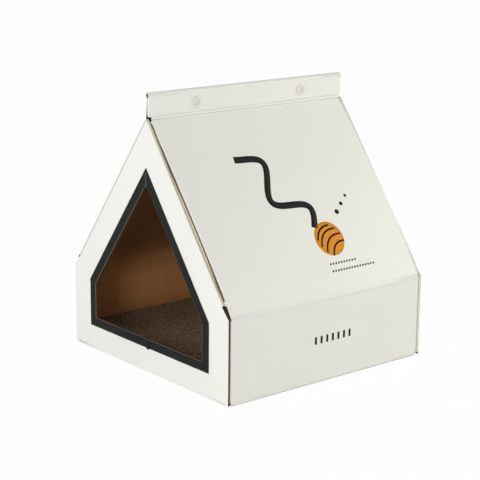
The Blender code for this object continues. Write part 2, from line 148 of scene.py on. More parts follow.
def floorMaterial():
    mat, tree, shader = shaderOf("paleFloor", stageSet["floor"], 0.9)
    white = tree.nodes.new("ShaderNodeEmission")
    white.inputs["Color"].default_value = (1, 1, 1, 1)
    fade = tree.nodes.new("ShaderNodeMixShader")    # a trace of shadow stays in the white
    fade.inputs[0].default_value = stageSet["floorWhite"]
    tree.links.new(shader.outputs[0], fade.inputs[1])
    tree.links.new(white.outputs[0], fade.inputs[2])
    whiteToCamera(tree, shader.outputs[0], fade.outputs[0],
                  tree.nodes["Material Output"].inputs["Surface"])
    return mat


def makeStage():
    world = bpy.data.worlds.new("studio")
    bpy.context.scene.world = world
    world.use_nodes = True
    tree = world.node_tree
    sky = tree.nodes["Background"]
    sky.inputs["Color"].default_value = (*stageSet["sky"], 1)
    sky.inputs["Strength"].default_value = stageSet["skyStrength"]
    white = tree.nodes.new("ShaderNodeBackground")
    white.inputs["Color"].default_value = (1, 1, 1, 1)
    whiteToCamera(tree, sky.outputs[0], white.outputs[0],
                  tree.nodes["World Output"].inputs["Surface"])
    for name, settings in lampSet.items():
        makeLamp(name + "Lamp", *settings)

    bm = bmesh.new()
    bmesh.ops.create_grid(bm, x_segments=1, y_segments=1, size=stageSet["floorHalf"])
    floor = finishPiece("studioFloor", bm, floorMaterial(), None)
    floor.location.z = -stageSet["floorDrop"]
    bpy.context.scene.view_settings.view_transform = "Standard"


# materials

def shaderOf(name, colour, roughness, **sockets):
    mat = bpy.data.materials.new(name)
    mat.use_nodes = True
    shader = mat.node_tree.nodes["Principled BSDF"]
    shader.inputs["Base Color"].default_value = (*colour, 1)
    shader.inputs["Roughness"].default_value = roughness
    for socket, value in sockets.items():
        shader.inputs[socket.replace("_", " ")].default_value = value
    return mat, mat.node_tree, shader


def addNode(tree, kind, **values):
    node = tree.nodes.new("ShaderNode" + kind)
    for key, value in values.items():
        if hasattr(node, key):
            setattr(node, key, value)
        else:
            node.inputs[key.replace("_", " ")].default_value = value
    return node


def objectHeight(tree):
    # height above the base at each point of the surface
    place = tree.nodes.new("ShaderNodeTexCoord")
    parts = tree.nodes.new("ShaderNodeSeparateXYZ")
    tree.links.new(place.outputs["Object"], parts.inputs[0])
    return parts.outputs["Z"]


def newGroup(name, inputs, outputs):
    group = bpy.data.node_groups.new(name, "ShaderNodeTree")
    for label, value in inputs:
        socket = group.interface.new_socket(label, in_out="INPUT", socket_type="NodeSocketFloat")
        socket.default_value = value
    for label in outputs:
        group.interface.new_socket(label, in_out="OUTPUT", socket_type="NodeSocketFloat")
    return group, group.nodes.new("NodeGroupInput"), group.nodes.new("NodeGroupOutput")


def paperGrainGroup():
    # felted fibres: a fine grain, longer fibre streaks and a slow mottle
    group, start, end = newGroup("paperGrain", [
        ("Fine scale", 900.0), ("Streak scale", 160.0), ("Mottle scale", 14.0)],
        ["Grain", "Mottle"])
    link = group.links.new
    place = group.nodes.new("ShaderNodeTexCoord")
    fine = addNode(group, "TexNoise", Detail=3.0, Roughness=0.6)
    link(place.outputs["Object"], fine.inputs["Vector"])
    link(start.outputs["Fine scale"], fine.inputs["Scale"])
    stretch = addNode(group, "Mapping", Scale=(1.0, 0.22, 1.0))
    link(place.outputs["Object"], stretch.inputs["Vector"])
    streak = addNode(group, "TexNoise", Detail=5.0, Roughness=0.65, Distortion=0.4)
    link(stretch.outputs[0], streak.inputs["Vector"])
    link(start.outputs["Streak scale"], streak.inputs["Scale"])
    both = addNode(group, "Mix", Factor=0.5)
    link(fine.outputs["Fac"], both.inputs[2])
    link(streak.outputs["Fac"], both.inputs[3])
    mottle = addNode(group, "TexNoise", Detail=4.0, Roughness=0.55)
    link(place.outputs["Object"], mottle.inputs["Vector"])
    link(start.outputs["Mottle scale"], mottle.inputs["Scale"])
    link(both.outputs[0], end.inputs["Grain"])
    link(mottle.outputs["Fac"], end.inputs["Mottle"])
    return group


def fluteGroup():
    # the corrugation telegraphs through the liner as faint parallel swells
    group, start, end = newGroup("fluteSwell", [
        ("Pitch", boardSet["flutePitch"]), ("Along X", 1.0)], ["Swell"])
    link = group.links.new
    place = group.nodes.new("ShaderNodeTexCoord")
    parts = group.nodes.new("ShaderNodeSeparateXYZ")
    link(place.outputs["Object"], parts.inputs[0])
    pick = addNode(group, "Mix")
    link(start.outputs["Along X"], pick.inputs[0])
    link(parts.outputs["Z"], pick.inputs[2])
    link(parts.outputs["X"], pick.inputs[3])
    turns = addNode(group, "Math", operation="DIVIDE")
    link(pick.outputs[0], turns.inputs[0])
    link(start.outputs["Pitch"], turns.inputs[1])
    angle = addNode(group, "Math", operation="MULTIPLY")
    angle.inputs[1].default_value = tau
    link(turns.outputs[0], angle.inputs[0])
    wave = addNode(group, "Math", operation="SINE")
    link(angle.outputs[0], wave.inputs[0])
    link(wave.outputs[0], end.inputs["Swell"])
    return group


groupMakers = {"paperGrain": paperGrainGroup, "fluteSwell": fluteGroup}
groups = {}


def useGroup(tree, name, **values):
    if name not in groups:
        groups[name] = groupMakers[name]()
    node = tree.nodes.new("ShaderNodeGroup")
    node.node_tree = groups[name]
    for key, value in values.items():
        node.inputs[key.replace("_", " ")].default_value = value
    return node


def tintBetween(tree, shader, factor, dark, light, low, high):
    spread = addNode(tree, "MapRange", From_Min=low, From_Max=high)
    tree.links.new(factor, spread.inputs["Value"])
    mix = addNode(tree, "Mix", data_type="RGBA")
    mix.inputs[6].default_value = (*dark, 1)    # 6 and 7 are the node's colour sockets
    mix.inputs[7].default_value = (*light, 1)
    tree.links.new(spread.outputs["Result"], mix.inputs[0])
    tree.links.new(mix.outputs[2], shader.inputs["Base Color"])
    return mix


def bumpFrom(tree, shader, heights):
    # heights: (socket, metres) pairs, chained one bump on the next
    last = None
    for socket, depth in heights:
        bump = addNode(tree, "Bump", Distance=depth)
        tree.links.new(socket, bump.inputs["Height"])
        if last:
            tree.links.new(last.outputs[0], bump.inputs["Normal"])
        last = bump
    tree.links.new(last.outputs[0], shader.inputs["Normal"])


boardSet = {
    "coatDark": (0.862, 0.856, 0.796), "coatLight": (0.884, 0.879, 0.822),
    "linerDark": (0.575, 0.255, 0.088), "linerLight": (0.745, 0.358, 0.130),
    "shadeFoot": 0.080, "shadeHead": 0.165, "shade": 0.42,
    "coreDark": (0.026, 0.015, 0.011), "coreLight": (0.078, 0.046, 0.031),
    "flutePitch": 0.0073, "skin": 0.00010, "facing": 0.9, "smooth": 0.62, "sharp": 0.9,
}


def coatMaterial(name, alongX):
    mat, tree, shader = shaderOf(name, boardSet["coatLight"], 0.42, Specular_IOR_Level=0.42)
    grain = useGroup(tree, "paperGrain", Fine_scale=1400.0, Streak_scale=220.0, Mottle_scale=9.0)
    flute = useGroup(tree, "fluteSwell", Pitch=boardSet["flutePitch"], Along_X=alongX)
    tintBetween(tree, shader, grain.outputs["Mottle"], boardSet["coatDark"],
                boardSet["coatLight"], 0.3, 0.7)
    bumpFrom(tree, shader, [(grain.outputs["Mottle"], 0.00035), (flute.outputs["Swell"], 0.000012),
                            (grain.outputs["Grain"], 0.00003)])
    return mat


def linerMaterial(name, alongX):
    # uncoated kraft, with painted shade that darkens it higher up, towards the roof
    mat, tree, shader = shaderOf(name, boardSet["linerLight"], 0.82, Specular_IOR_Level=0.2)
    grain = useGroup(tree, "paperGrain", Fine_scale=1300.0, Streak_scale=420.0, Mottle_scale=30.0)
    flute = useGroup(tree, "fluteSwell", Pitch=boardSet["flutePitch"], Along_X=alongX)
    tint = tintBetween(tree, shader, grain.outputs["Grain"], boardSet["linerDark"],
                       boardSet["linerLight"], 0.3, 0.68)
    shade = addNode(tree, "MapRange", interpolation_type="SMOOTHSTEP", To_Min=1.0,
                    To_Max=boardSet["shade"], From_Min=boardSet["shadeFoot"],
                    From_Max=boardSet["shadeHead"])
    tree.links.new(objectHeight(tree), shade.inputs["Value"])
    paintedShade = addNode(tree, "VectorMath", operation="SCALE")
    tree.links.new(tint.outputs[2], paintedShade.inputs[0])
    tree.links.new(shade.outputs["Result"], paintedShade.inputs["Scale"])
    tree.links.new(paintedShade.outputs[0], shader.inputs["Base Color"])
    bumpFrom(tree, shader, [(flute.outputs["Swell"], 0.00006), (grain.outputs["Grain"], 0.00006)])
    return mat


def coreMaterial():
    # the cut face between the liners, in the shade of the flutes
    mat, tree, shader = shaderOf("boardCore", boardSet["coreLight"], 0.9, Specular_IOR_Level=0.15)
    grain = useGroup(tree, "paperGrain", Fine_scale=500.0, Streak_scale=200.0, Mottle_scale=60.0)
    tintBetween(tree, shader, grain.outputs["Grain"], boardSet["coreDark"],
                boardSet["coreLight"], 0.35, 0.65)
    bumpFrom(tree, shader, [(grain.outputs["Grain"], 0.0004)])
    return mat


def plainPaper(name, dark, light):
    mat, tree, shader = shaderOf(name, light, 0.8, Specular_IOR_Level=0.2)
    grain = useGroup(tree, "paperGrain", Fine_scale=900.0, Streak_scale=300.0, Mottle_scale=40.0)
    tintBetween(tree, shader, grain.outputs["Grain"], dark, light, 0.3, 0.7)
    bumpFrom(tree, shader, [(grain.outputs["Grain"], 0.00008)])
    return mat


# shaping meshes

softAngle = 0.6         # edges turning less than this are shaded smooth
roundedFrom = 1.2       # edges turning more than this are rounded off
smallest = 1e-6
dropFrom = 0.03         # flat sheets start this far above the board, clear of its bow


def vertsOf(items):
    return [item for item in items if isinstance(item, bmesh.types.BMVert)]


def edgesOf(items):
    return [item for item in items if isinstance(item, bmesh.types.BMEdge)]


def drawOut(bm, edges, step):
    # extrude a line of edges by one step, and give back the verts and edges at its far end
    drawn = bmesh.ops.extrude_edge_only(bm, edges=edges)["geom"]
    moved = vertsOf(drawn)
    bmesh.ops.translate(bm, verts=moved, vec=step)
    return moved, [edge for edge in edgesOf(drawn) if all(vert in moved for vert in edge.verts)]


def lineMesh(points):
    bm = bmesh.new()
    verts = [bm.verts.new(point) for point in points]
    for pair in zip(verts, verts[1:]):
        bm.edges.new(pair)
    return bm


def blockMesh(centre, size, turn=Matrix.Identity(4)):
    bm = bmesh.new()
    bmesh.ops.create_cube(bm, size=1, matrix=Matrix.Translation(centre) @ turn
                          @ Matrix.Diagonal((*size, 1)))
    return bm


def slabMesh(outline, step):
    # a flat face round the given points, drawn out to a slab
    bm = bmesh.new()
    face = bm.faces.new([bm.verts.new(point) for point in outline])
    drawn = bmesh.ops.extrude_face_region(bm, geom=[face, *face.edges])["geom"]
    bmesh.ops.translate(bm, verts=vertsOf(drawn), vec=step)
    bmesh.ops.recalc_face_normals(bm, faces=bm.faces)
    return bm


def mirrorTo(bm, hand):
    # pieces are drawn on the right, and the left one is the same shape mirrored
    bmesh.ops.scale(bm, verts=bm.verts, vec=(hand, 1, 1))
    bmesh.ops.recalc_face_normals(bm, faces=bm.faces)


def turnFaces(bm, outward):
    # an open sheet has no inside, so its faces are turned to look one way
    bmesh.ops.recalc_face_normals(bm, faces=bm.faces)
    bm.normal_update()
    if sum(face.normal.dot(outward) for face in bm.faces) < 0:
        bmesh.ops.reverse_faces(bm, faces=bm.faces)


def layOn(bm, surface, outward, lift):
    # drop each point of a flat sheet on the board below it
    tree = BVHTree.FromObject(surface, bpy.context.evaluated_depsgraph_get())
    for vert in bm.verts:
        hit = tree.ray_cast(vert.co + outward * dropFrom, -outward)[0]
        vert.co = hit + outward * lift


def finishPiece(name, bm, mat, body, smooth=None):
    if smooth:
        bmesh.ops.recalc_face_normals(bm, faces=bm.faces)
    mesh = bpy.data.meshes.new(name)
    bm.to_mesh(mesh)
    bm.free()
    mesh.materials.append(mat)
    if smooth:
        mesh.shade_smooth()
        mesh.set_sharp_from_angle(angle=smooth)
    piece = bpy.data.objects.new(name, mesh)
    bpy.context.scene.collection.objects.link(piece)
    if body:
        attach(piece, body)
    return piece


def weighted(piece):
    normals = piece.modifiers.new("faceNormals", "WEIGHTED_NORMAL")
    normals.mode = "FACE_AREA"
    normals.keep_sharp = True


def thicken(piece, thickness, offset):
    wall = piece.modifiers.new("wall", "SOLIDIFY")
    wall.thickness = thickness
    wall.offset = offset
    wall.use_even_offset = True


# outer coat and inner liner, peeled off the board's own faces

skins = {
    # node: body, outer side, way that the flutes repeat
    "floor_panel": ("floor", (0, 0, -1), "Upright"),
    "right_wall": ("right_side", (1, 0, 0), "Level"),
    "left_wall": ("left_side", (-1, 0, 0), "Level"),
    "right_roof": ("right_slope", (roofOut.x, 0, roofOut.z), "Level"),
    "left_roof": ("left_slope", (-roofOut.x, 0, roofOut.z), "Level"),
    "right_fin": ("right_ridge", (1, 0, 0), "Level"),
    "cap_strip": ("ridge_cap", (0, 0, 1), "Level"),
    "left_fin": ("left_ridge", (-1, 0, 0), "Level"),
    "front_panel": ("front_gable", (0, -1, 0), "Upright"),
    "rear_panel": ("rear_gable", (0, 1, 0), "Upright"),
}


def rawEnd(face):
    return all(abs(abs(vert.co.y) - finEnd) < smallest for vert in face.verts)


def peel(name, node, direction, mat, body):
    # keep the smooth stretch of faces around the largest one that looks the given way
    bm = bmesh.new()
    bm.from_mesh(nodes[node].data)
    bmesh.ops.remove_doubles(bm, verts=bm.verts, dist=smallest)
    bm.normal_update()
    facing = [face for face in bm.faces if face.normal.dot(direction) > boardSet["facing"]]
    seed = max(facing, key=lambda face: face.calc_area())
    kept, waiting = {seed}, [seed]
    while waiting:
        for edge in waiting.pop().edges:
            if len(edge.link_faces) == 2 and edge.calc_face_angle(pi) < boardSet["smooth"]:
                fresh = [face for face in edge.link_faces if face not in kept and not rawEnd(face)]
                kept.update(fresh)
                waiting.extend(fresh)
    spare = [face for face in bm.faces if face not in kept]
    bmesh.ops.delete(bm, geom=spare, context="FACES")
    piece = finishPiece(name, bm, mat, body)
    piece.data.shade_smooth()
    piece.data.set_sharp_from_angle(angle=boardSet["sharp"])
    thicken(piece, boardSet["skin"], 1)
    weighted(piece)


def makeBoards():
    flutes = (("Level", 0.0), ("Upright", 1.0))
    coats = {label: coatMaterial("whiteCoat" + label, alongX) for label, alongX in flutes}
    liners = {label: linerMaterial("kraftLiner" + label, alongX) for label, alongX in flutes}
    core = coreMaterial()
    for node, (body, direction, flute) in skins.items():
        nodes[node].material_slots[0].material = core
        peel(node + "_coat", node, Vector(direction), coats[flute], body)
        peel(node + "_liner", node, -Vector(direction), liners[flute], body)
    return coats, core


# creases: a strip of coat bridges each parting between two panels

creaseSet = {"lift": 0.00012, "paper": 0.00005, "run": 0.0012, "steps": 8, "cuts": 5,
             "eave": 0.0085, "valley": -0.0015, "gableHalf": 0.187, "capShort": 0.0001}
creases = [
    # kind, side, hinge, outer radius, angles of the outward normal, half length, bodies
    ("foot", "right", "right_wall_fold", foldRadius, -90, 0, foldLine, "floor", "right_side"),
    ("foot", "left", "left_wall_fold", foldRadius, -90, 0, foldLine, "floor", "left_side"),
    ("eave", "right", "right_roof_fold", creaseSet["eave"], 0, slopeDegrees, foldLine,
     "right_side", "right_slope"),
    ("eave", "left", "left_roof_fold", creaseSet["eave"], 0, slopeDegrees, foldLine,
     "left_side", "left_slope"),
    ("valley", "right", "right_fin_fold", creaseSet["valley"], slopeDegrees, 0, foldLine,
     "right_slope", "right_ridge"),
    ("valley", "left", "left_fin_fold", creaseSet["valley"], slopeDegrees, 0, foldLine,
     "left_slope", "left_ridge"),
    ("cap", "right", "cap_strip_fold", foldRadius, 0, 90, finEnd - creaseSet["capShort"],
     "right_ridge", "ridge_cap"),
    ("foot", "front", "front_panel_fold", foldRadius, -90, 0, creaseSet["gableHalf"],
     "floor", "front_gable"),
    ("foot", "rear", "rear_panel_fold", foldRadius, -90, 0, creaseSet["gableHalf"],
     "floor", "rear_gable"),
]
turnTo = {
    # a profile is drawn for the right side, then turned or mirrored to its own
    "right": lambda point: Vector((point.x, point.y, point.z)),
    "left": lambda point: Vector((-point.x, point.y, point.z)),
    "front": lambda point: Vector((point.y, -point.x, point.z)),
    "rear": lambda point: Vector((point.y, point.x, point.z)),
}


def makeCreases(coats):
    for kind, side, hinge, radius, first, last, half, below, above in creases:
        place = turnTo[side]
        first, last = radians(first), radians(last)
        middle = (first + last) / 2
        pivot = hinges[hinge]
        upright = side in ("front", "rear")
        across = abs(pivot.y) if upright else abs(pivot.x)
        outFirst, outMiddle, outLast = (Vector((cos(turn), 0, sin(turn)))
                                        for turn in (first, middle, last))
        centre = Vector((across, 0, pivot.z)) - outMiddle * radius
        runBack = Vector((sin(first), 0, -cos(first))) * creaseSet["run"]
        runOn = Vector((-sin(last), 0, cos(last))) * creaseSet["run"]
        start = centre + outFirst * (radius + creaseSet["lift"]) + runBack
        bm = lineMesh([start + Vector((0, way * half, 0)) for way in (-1, 1)])
        moved, line = drawOut(bm, bm.edges[:], -runBack)
        spun = bmesh.ops.spin(bm, geom=line + moved, cent=centre, axis=(0, -1, 0),
                              angle=last - first, steps=creaseSet["steps"])["geom_last"]
        drawOut(bm, edgesOf(spun), runOn)
        bmesh.ops.remove_doubles(bm, verts=bm.verts, dist=smallest / 10)
        lengthways = [edge for edge in bm.edges if edge.calc_length() > half]
        bmesh.ops.subdivide_edges(bm, edges=lengthways, cuts=creaseSet["cuts"])
        for vert in bm.verts:
            vert.co = place(vert.co)
        turnFaces(bm, place(outMiddle))
        coat = coats["Upright" if upright else "Level"]
        strip = finishPiece(f"{side}_{kind}_crease", bm, coat, None)
        strip.data.shade_smooth()
        thicken(strip, creaseSet["paper"], 1)
        begin = place(centre + outFirst * radius)
        finish = place(centre + outLast * radius)
        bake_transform(strip)


# raw edges: cut papers with the wave of the medium between them

edgeSet = {
    "paper": 0.00042, "medium": 0.8, "proud": 0.00012, "sunk": 0.0005, "inset": 0.00024,
    "lap": 0.00080, "layer": 0.00008, "endLayer": 0.00012, "grip": 0.00004, "endGap": 0.0001,
    "steps": 8, "longPitch": 0.0122, "capShort": 0.0006, "finRun": (0.3949, 0.4233),
    "cleanDark": (0.74, 0.73, 0.66), "clean": (0.84, 0.83, 0.77),
    "whiteDark": (0.66, 0.62, 0.52), "white": (0.80, 0.77, 0.69),
    "tanDark": (0.40, 0.27, 0.17), "tan": (0.55, 0.40, 0.26),
    "khakiDark": (0.76, 0.70, 0.53), "khaki": (0.89, 0.83, 0.66),
    "waveDark": (0.38, 0.31, 0.20), "wave": (0.50, 0.43, 0.29),
    "endFoot": 0.3935, "endHead": 0.4180, "endMiddle": 0.45,
    "endShade": (0.16, 0.12, 0.11), "endHalfShade": (0.62, 0.60, 0.57), "endLight": (0.86, 0.85, 0.80),
}


def endMaterial():
    # papers of the fin's end, with painted shade deepening towards its foot
    mat, tree, shader = shaderOf("finEndPaper", edgeSet["white"], 0.75, Specular_IOR_Level=0.2)
    grain = useGroup(tree, "paperGrain", Fine_scale=900.0, Streak_scale=300.0, Mottle_scale=60.0)
    ramp = tree.nodes.new("ShaderNodeValToRGB")
    stops = ramp.color_ramp.elements
    stops[0].color = (*edgeSet["endShade"], 1)
    stops[1].color = (*edgeSet["endLight"], 1)
    stops.new(edgeSet["endMiddle"]).color = (*edgeSet["endHalfShade"], 1)
    shade = addNode(tree, "MapRange", From_Min=edgeSet["endFoot"], From_Max=edgeSet["endHead"])
    tree.links.new(objectHeight(tree), shade.inputs["Value"])
    tree.links.new(shade.outputs["Result"], ramp.inputs[0])
    tree.links.new(ramp.outputs[0], shader.inputs["Base Color"])
    bumpFrom(tree, shader, [(grain.outputs["Grain"], 0.00008)])
    return mat


def makePapers():
    return {
        "white": plainPaper("cutWhite", edgeSet["whiteDark"], edgeSet["white"]),
        "tan": plainPaper("cutLiner", edgeSet["tanDark"], edgeSet["tan"]),
        "khaki": plainPaper("cutEdge", edgeSet["khakiDark"], edgeSet["khaki"]),
        "wave": plainPaper("cutMedium", edgeSet["waveDark"], edgeSet["wave"]),
        "end": endMaterial(),
        "clean": plainPaper("cutClean", edgeSet["cleanDark"], edgeSet["clean"]),
    }


def edgeBand(start, stop, across, outward, width, shift=0.0, swing=0.0,
             pitch=boardSet["flutePitch"]):
    # a band of paper seen on its cut edge, straight or in waves, drawn along the raw edge
    run = stop - start
    along = run.normalized()
    count = max(1, round(run.length / pitch * edgeSet["steps"])) if swing else 1
    bm = bmesh.new()
    last = None
    for step in range(count + 1):
        turn = tau * run.length * step / count / pitch
        lean = atan2(swing * tau / pitch * cos(turn), 1)
        middle = (start + run * step / count + across * (shift + swing * sin(turn))
                  + outward * edgeSet["proud"])
        half = (across * cos(lean) - along * sin(lean)) * width / 2
        if last is None:
            last = [bm.edges.new([bm.verts.new(middle - half), bm.verts.new(middle + half)])]
            continue
        fresh, last = drawOut(bm, last, (0, 0, 0))
        fresh.sort(key=lambda vert: vert.co.dot(across))
        fresh[0].co, fresh[1].co = middle - half, middle + half
    turnFaces(bm, outward)
    return bm


def cornersAt(node, depth):
    # (height, across) of the node's corners at one depth, on the right of the middle
    verts = nodes[node].data.vertices
    return sorted({(round(vert.co.z, 5), round(vert.co.x, 5)) for vert in verts
                   if abs(vert.co.y - depth) < 1e-5 and vert.co.x > -1e-5})


def gableCorners():
    # right half of the gable's outline: foot, eave, the notch's inner end, slope foot and tip
    doorSide, doorTop = 0.15, 0.35
    return [Vector((x, 0, z)) for z, x in cornersAt("front_panel", frontFace)
            if x > doorSide or (z > doorTop and x > 0.001)]


def rawEdges():
    # name, body, two ends, across the board, outwards, kind
    foot, eaveCorner, notchIn, slopeFoot, tip = gableCorners()
    edges = []
    for label, way in ends:
        middle = way * (rearFace - board / 2)
        for side, hand in sides:
            parts = [("jamb", foot, eaveCorner), ("slope", slopeFoot, tip)]
            if label == "rear":
                parts += [("notch_floor", eaveCorner, notchIn), ("notch_side", notchIn, slopeFoot)]
            for part, low, high in parts:
                along = (high - low).normalized()
                out = Vector((along.z * hand, 0, -along.x))
                points = [Vector((point.x * hand, middle, point.z)) for point in (low, high)]
                edges.append((f"{label}_{side}_{part}", f"{label}_gable", points,
                              Vector((0, way, 0)), out, part if label == "front" else "clean"))
    for label, way in ends:
        points = [Vector((-finHalf + board / 2, way * finEnd, z)) for z in edgeSet["finRun"]]
        edges.append((f"fin_{label}_end", "left_ridge", points, Vector((-1, 0, 0)),
                      Vector((0, way, 0)), "end"))
    low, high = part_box("cap_strip")
    points = [Vector((low.x, y, high.z - board / 2))
              for y in (low.y + edgeSet["capShort"], high.y - edgeSet["capShort"])]
    edges.append(("cap_long", "ridge_cap", points, Vector((0, 0, 1)), Vector((-1, 0, 0)), "jamb"))
    return edges


def makeRawEdges(papers):
    thin, lap, layer = edgeSet["paper"], edgeSet["lap"], edgeSet["layer"]
    reach = board / 2 - edgeSet["inset"]
    swing = reach - thin
    kinds = {
        # part, paper, width, shift across, swing of the wave, height over the base
        "jamb": (("coat", "white", thin, reach, 0, 0), ("liner", "tan", thin, -reach, 0, 0)),
        "slope": (("base", "khaki", board + lap, -lap / 2, 0, 0),
                  ("coat", "white", thin, reach, 0, layer),
                  ("medium", "wave", thin * edgeSet["medium"], 0, swing, layer),
                  ("liner", "tan", thin, -reach, 0, layer)),
        "clean": (("base", "clean", board + lap, -lap / 2, 0, 0),
                  ("medium", "white", thin * edgeSet["medium"], 0, swing, layer)),
        "end": (("base", "end", board - edgeSet["endGap"], 0, 0, 0),
                ("medium", "end", thin, 0, swing, edgeSet["endLayer"])),
    }
    for name, body, (start, stop), across, outward, kind in rawEdges():
        pitch = edgeSet["longPitch"] if kind == "slope" else boardSet["flutePitch"]
        for part, paper, width, shift, wave, raised in kinds[kind]:
            up = outward * raised
            bm = edgeBand(start + up, stop + up, across, outward, width, shift, wave, pitch)
            band = finishPiece(f"{name}_{part}", bm, papers[paper], body)
            thicken(band, raised + edgeSet["grip"] if raised else edgeSet["sunk"], -1)


# painted contact shadow: a dark line along the foot of each wall

footSet = {"lift": 0.00030, "first": -50, "last": -88, "steps": 5, "lowest": 0.00005,
           "paper": 0.00004, "dark": (0.20, 0.19, 0.17), "light": (0.34, 0.32, 0.29)}


def makeFeet():
    contactShade = plainPaper("paintedContactShade", footSet["dark"], footSet["light"])
    reach = foldRadius + footSet["lift"]
    for side, hand in sides:
        line = []
        for step in range(footSet["steps"] + 1):
            turn = radians(footSet["first"]
                           + (footSet["last"] - footSet["first"]) * step / footSet["steps"])
            across = halfWidth - foldRadius + cos(turn) * reach
            height = max(foldRadius + sin(turn) * reach, footSet["lowest"])
            line.append((hand * across, -foldLine, height))
        bm = lineMesh(line)
        drawOut(bm, bm.edges[:], (0, 2 * foldLine, 0))
        turnFaces(bm, Vector((hand, 0, 0)))
        piece = finishPiece(f"{side}_foot_scuff", bm, contactShade, "floor")
        thicken(piece, footSet["paper"], -1)


# the rear gable's coat laps round its edges and closes the seams at its corners

lapSet = {"thick": 0.0004, "seam": 0.0016, "short": 0.001, "jambSunk": 0.0012, "slopeSunk": 0.0006}


def makeRearLaps(clean):
    foot, eaveCorner, _, slopeFoot, tip = gableCorners()
    depth = rearFace - board - lapSet["seam"] / 2
    for side, hand in sides:
        for part, low, high in (("jamb", foot, eaveCorner), ("slope", slopeFoot, tip)):
            along = (high - low).normalized()
            out = Vector((along.z, 0, -along.x))
            spot = (low + high) / 2 - out * lapSet[part + "Sunk"] + Vector((0, depth, 0))
            turn = Matrix((out, Vector((0, 1, 0)), along)).transposed().to_4x4()
            size = (lapSet["thick"], lapSet["seam"], (high - low).length - lapSet["short"])
            bm = blockMesh(spot, size, turn)
            mirrorTo(bm, hand)
            finishPiece(f"rear_{side}_{part}_lap", bm, clean, "rear_gable")


# the front gable's slopes: a faint line of painted shade along the left edge, and a dark block of
# painted shade at the end of each eave notch

slopeSet = {"width": 0.0023, "dark": (0.52, 0.54, 0.42), "light": (0.64, 0.66, 0.54),
            "notch": (0.0022, 0.0024, 0.0044), "notchOut": 0.0010, "notchBack": 0.0020,
            "notchDeep": 0.0014}


def makeSlopes(core):
    _, _, _, slopeFoot, tip = gableCorners()
    along = (tip - slopeFoot).normalized()
    out = Vector((along.z, 0, -along.x))
    inset = out * slopeSet["width"] / 2
    toFace = Vector((0, frontFace - edgeSet["proud"], 0))
    edgeShade = plainPaper("paintedEdgeShade", slopeSet["dark"], slopeSet["light"])
    for side, hand in sides:
        flip = Vector((hand, 1, 1))
        start, stop = ((point - inset) * flip + toFace for point in (slopeFoot, tip))
        # painted shade along the left slope's edge
        if side == "left":
            bm = edgeBand(start, stop, out * flip, Vector((0, -1, 0)), slopeSet["width"])
            piece = finishPiece("front_left_slope_line", bm, edgeShade, "front_gable")
            thicken(piece, edgeSet["proud"], -1)
        # a dark block of painted shade fills the back of each eave notch
        turn = Vector((0, 0, 1)).rotation_difference(along * flip).to_matrix().to_4x4()
        spot = (start + (out * slopeSet["notchOut"] - along * slopeSet["notchBack"]) * flip
                + Vector((0, slopeSet["notchDeep"], 0)))
        finishPiece(f"front_{side}_notch_shade", blockMesh(spot, slopeSet["notch"], turn), core,
                    "front_gable")


# ends of the ridge fin: the cap's own end, a dark plate of painted shade in its hollow, its turned
# side and dark blocks of painted shade at the foot

finSet = {
    "skin": 0.00030, "left": -0.0036, "capTop": 0.4298, "capUnder": 0.4239, "capInner": -0.0013,
    "centre": (-0.00135, 0.425), "ringIn": 0.0036, "ringOut": 0.0049, "turnFoot": 0.4222,
    "hollowWide": (-0.0028, -0.0009), "hollowHigh": (0.4250, 0.4283), "endSunk": 0.0001,
    "curlFoot": 0.42372, "curlHead": 0.0008, "curlShort": 0.0008, "curlIn": 0.0002,
    "curl": 0.0003, "hollowOut": 0.6,
    "footLow": 0.3905, "footHigh": 0.3946, "footBack": 0.18815,
}


def arcPoints(radius, first, last, count=6):
    x, z = finSet["centre"]
    turns = [radians(first + (last - first) * step / count) for step in range(count + 1)]
    return [(x + radius * cos(turn), z + radius * sin(turn)) for turn in turns]


def endPlate(name, outline, depth, way, mat, body):
    # a flat outline of (x, z) points at the end of the fin
    bm = slabMesh([(x, way * depth, z) for x, z in outline], (0, way * finSet["skin"], 0))
    finishPiece(name, bm, mat, body)


def makeFinEnds(coat, curlPaper, core):
    inner, outer, left = finSet["ringIn"], finSet["ringOut"], finSet["left"]
    middle, foot = finSet["centre"][0], finSet["turnFoot"]
    under, top = finSet["capUnder"], finSet["capTop"]
    cap = [(left, under), (finSet["capInner"], under), *reversed(arcPoints(inner, 46, 90)),
           *arcPoints(outer, 46, 90), (left, top)]
    (west, east), (low, high) = finSet["hollowWide"], finSet["hollowHigh"]
    hollow_shade = [(west, low), (east, low), (east, high), (west, high)]
    turned = [(middle + inner, foot), (middle + outer, foot), *arcPoints(outer, 0, 44),
              *reversed(arcPoints(inner, 0, 44))]
    depth = finEnd - finSet["endSunk"]
    for label, way in ends:
        endPlate(f"cap_{label}_end", cap, depth, way, coat, "ridge_cap")
        # a dark plate of painted shade stands in the cap's hollow
        endPlate(f"cap_{label}_hollow", hollow_shade, finEnd + finSet["skin"] * finSet["hollowOut"], way,
                 core, "ridge_cap")
        endPlate(f"fin_{label}_turn", turned, depth, way, coat, "right_ridge")

    # the cap's liner curls down from its long edge
    low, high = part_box("cap_strip")
    head = low.z + finSet["curlHead"]
    foot = finSet["curlFoot"]
    curl = blockMesh((left + finSet["curlIn"], 0, (foot + head) / 2),
                     (finSet["curl"], high.y - low.y - finSet["curlShort"], head - foot))
    finishPiece("cap_liner_curl", curl, curlPaper, "ridge_cap")

    # dark blocks of painted shade close the hole under the fin's end at its foot
    foot, head = finSet["footLow"], finSet["footHigh"]
    span = finEnd - finSet["footBack"]
    for label, way in ends:
        bm = blockMesh((left + finSet["curl"] / 2, way * (finEnd - span / 2), (foot + head) / 2),
                       (finSet["curl"], span, head - foot))
        finishPiece(f"fin_{label}_foot", bm, core, "left_ridge")


